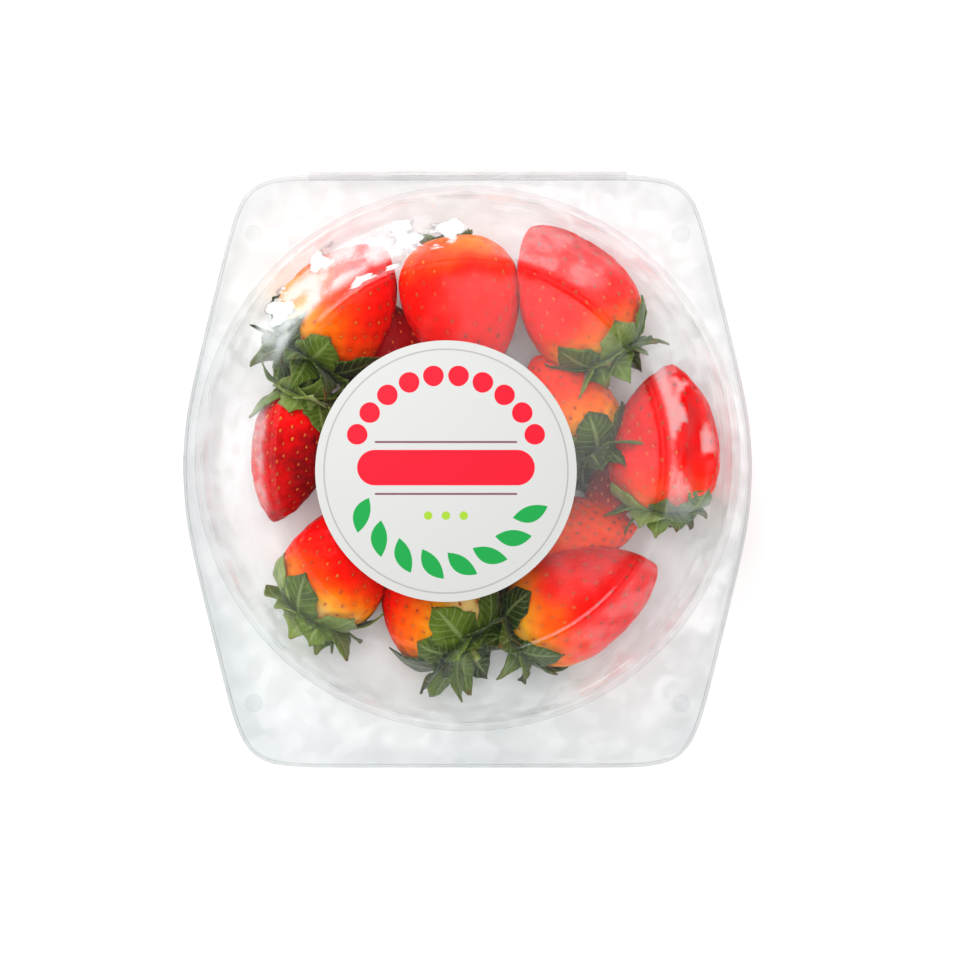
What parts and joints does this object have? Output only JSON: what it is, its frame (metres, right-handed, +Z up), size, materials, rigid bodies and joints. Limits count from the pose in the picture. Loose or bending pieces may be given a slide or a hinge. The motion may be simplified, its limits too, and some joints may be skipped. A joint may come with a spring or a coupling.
{
  "type": "punnet of strawberries",
  "caption": "Clear hinged plastic punnet with a fluted round bowl, a domed lid and a round paper label, filled with whole strawberries.",
  "frame": {"origin": "middle of the pack's outline, on the surface that its foot rests on", "axes": "+X to the right and +Y to the hinge as the label reads, +Z up through the lid"},
  "size_m": [0.1627, 0.171, 0.0487],
  "materials": {
    "clear_plastic": "clear thermoformed sheet, glossy, with a slight milky haze and soft ripples",
    "label_paper": "smooth white label paper printed with plain red and green shapes, satin",
    "strawberry": "moist dimpled fruit skin from orange at the cap to red at the tip, with pale seeds and matt green leaves"
  },
  "bodies": {
    "tray": {"tray": "clear_plastic", "strawberries": "strawberry"},
    "lid": {"lid": "clear_plastic", "label": "label_paper"}
  },
  "joints": [
    {"name": "lid_hinge", "type": "hinge", "parent": "tray", "child": "lid", "pos_m": [0, 0.0847, 0.03315], "axis": [-1, 0, 0], "range_deg": [0, 180]}
  ]
}
